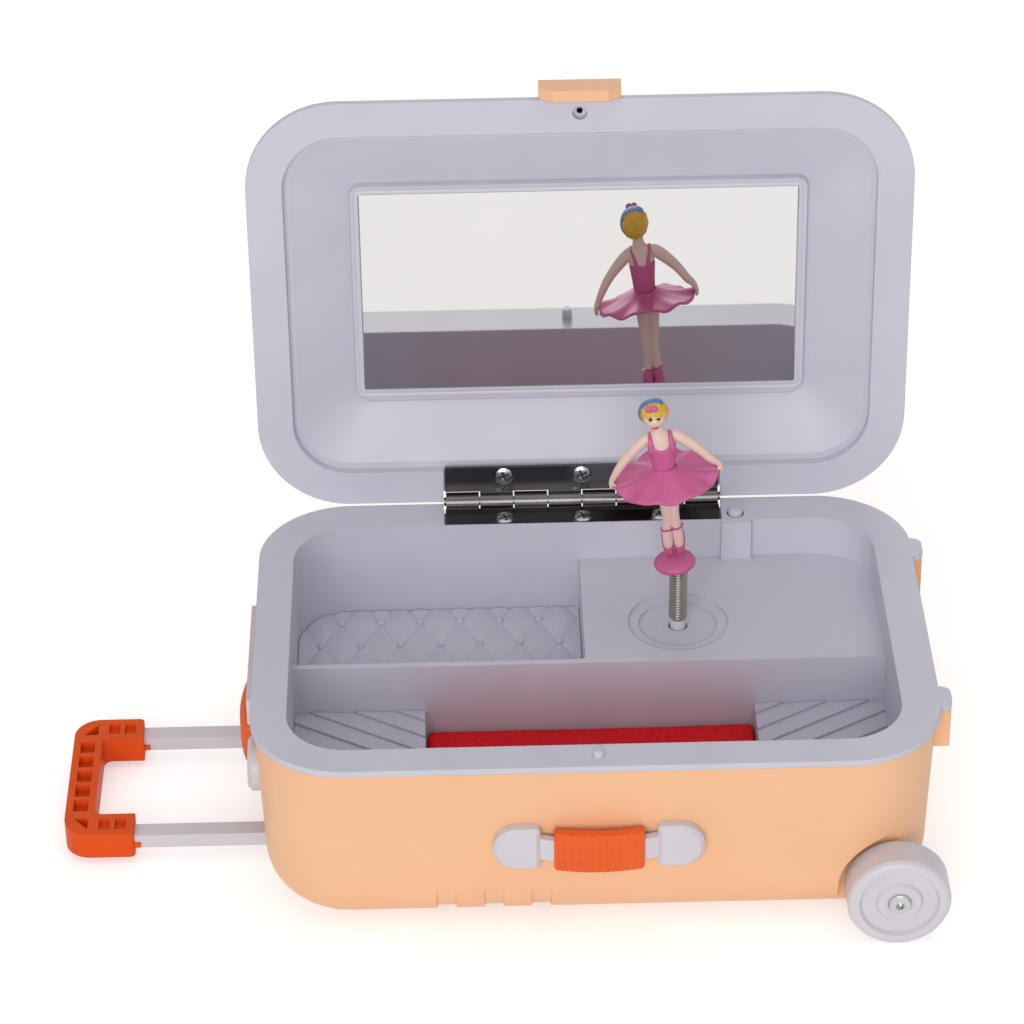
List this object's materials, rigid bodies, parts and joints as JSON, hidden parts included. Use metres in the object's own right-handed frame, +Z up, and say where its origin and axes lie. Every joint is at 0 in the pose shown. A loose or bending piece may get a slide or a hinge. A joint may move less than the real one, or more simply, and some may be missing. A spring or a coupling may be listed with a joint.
{
  "type": "wind up music box",
  "caption": "Suitcase-shaped wind up music box with a hinged mirror lid, divided tray, turning dancer on a spring, carry handles, wheels and a sliding trolley pull.",
  "frame": {"origin": "on the standing surface under the middle of the case rim", "axes": "+X along the case to the wheel end, +Y to the hinge side, +Z up"},
  "size_m": [0.1967, 0.126, 0.1536],
  "materials": {
    "peach_shell": "satin moulded shell",
    "pale_tray": "satin moulded tray",
    "red_foam": "flocked foam",
    "hinge_steel": "black nickel polish",
    "bright_steel": "polished",
    "mirror_silver": "silvered",
    "orange_plastic": "satin",
    "pale_plastic": "satin",
    "zinc_cast": "as cast",
    "brass_bright": "turned",
    "spring_steel": "drawn wire",
    "pink_paint": "painted",
    "skin_paint": "painted",
    "hair_paint": "painted",
    "black_plastic": "moulded"
  },
  "bodies": {
    "case": {"base_shell": "peach_shell", "tray": "pale_tray", "foam_pad": "red_foam", "hinge_leaf_base": "hinge_steel", "hinge_pin": "hinge_steel", "hinge_screws_base": "bright_steel", "front_handle_bar": "pale_plastic", "front_handle_grip": "orange_plastic", "end_handle_bar": "pale_plastic", "end_handle_grip": "orange_plastic", "end_rail": "pale_plastic", "axle_pin_front": "bright_steel", "axle_pin_rear": "bright_steel", "trolley_guide": "pale_plastic", "bedplate": "zinc_cast", "bed_screws": "bright_steel", "base_screws": "bright_steel", "spring_drum": "spring_steel", "mainspring": "spring_steel", "comb": "spring_steel", "comb_screws": "bright_steel"},
    "lid": {"lid_shell": "peach_shell", "lid_liner": "pale_tray", "mirror": "mirror_silver", "hinge_leaf_lid": "hinge_steel", "hinge_screws_lid": "bright_steel"},
    "trolley": {"trolley_pull": "orange_plastic", "trolley_rod_front": "pale_plastic", "trolley_rod_rear": "pale_plastic", "trolley_stop": "pale_plastic"},
    "front_wheel": {"wheel_front": "pale_plastic"},
    "rear_wheel": {"wheel_rear": "pale_plastic"},
    "winder": {"arbor": "bright_steel", "main_gear": "brass_bright", "winding_key": "zinc_cast", "turntable_post": "pale_plastic"},
    "cylinder": {"music_cylinder": "brass_bright", "cylinder_pinion": "brass_bright", "train_gear": "brass_bright"},
    "fan": {"brake_fan": "black_plastic"},
    "stop": {"stop_plunger": "pale_plastic"},
    "figure_stem": {"figure_spring": "spring_steel"},
    "figure": {"dancer_base": "pink_paint", "dancer_legs": "skin_paint", "dancer_skirt": "pink_paint", "dancer_bodice": "pink_paint", "dancer_arms": "skin_paint", "dancer_head": "skin_paint", "dancer_hair": "hair_paint"}
  },
  "joints": [
    {"name": "lid_hinge", "type": "hinge", "parent": "case", "child": "lid", "pos_m": [0, 0.0516, 0.0476], "axis": [1, 0, 0], "range_deg": [0, 92.74]},
    {"name": "trolley_slide", "type": "slide", "parent": "case", "child": "trolley", "axis": [1, 0, 0], "range_m": [0, 0.027]},
    {"name": "front_wheel_spin", "type": "hinge", "parent": "case", "child": "front_wheel", "pos_m": [0.065, -0.0513, 0.0113], "axis": [0, 1, 0], "continuous": true},
    {"name": "rear_wheel_spin", "type": "hinge", "parent": "case", "child": "rear_wheel", "pos_m": [0.065, 0.0513, 0.0113], "axis": [0, 1, 0], "continuous": true},
    {"name": "winder_spin", "type": "hinge", "parent": "case", "child": "winder", "pos_m": [0.02065, 0.0157, 0.0153], "axis": [0, 0, 1], "continuous": true},
    {"name": "cylinder_spin", "type": "hinge", "parent": "case", "child": "cylinder", "pos_m": [0.0465, 0.0157, 0.0227], "axis": [1, 0, 0], "continuous": true},
    {"name": "fan_spin", "type": "hinge", "parent": "case", "child": "fan", "pos_m": [0.0465, 0.0057, 0.0227], "axis": [1, 0, 0], "continuous": true},
    {"name": "stop_slide", "type": "slide", "parent": "case", "child": "stop", "axis": [0, 0, -1], "range_m": [0, 0.0013]},
    {"name": "figure_fold", "type": "hinge", "parent": "case", "child": "figure_stem", "pos_m": [0.02065, 0.0157, 0.0432], "axis": [1, 0, 0], "range_deg": [0, 95.5], "deforming": ["figure_spring"]},
    {"name": "figure_spin", "type": "hinge", "parent": "figure_stem", "child": "figure", "pos_m": [0.02035, 0.0157, 0.0502], "axis": [-0.1045, 0, 0.9945], "continuous": true}
  ],
  "couplings": [
    {"joint": "cylinder_spin", "follows": "winder_spin", "ratio": 2},
    {"joint": "fan_spin", "follows": "winder_spin", "ratio": -8},
    {"joint": "figure_spin", "follows": "winder_spin", "ratio": 1},
    {"joint": "figure_fold", "follows": "lid_hinge", "ratio": 1.0244},
    {"joint": "stop_slide", "follows": "lid_hinge", "m_per_rad": 0.00074}
  ]
}
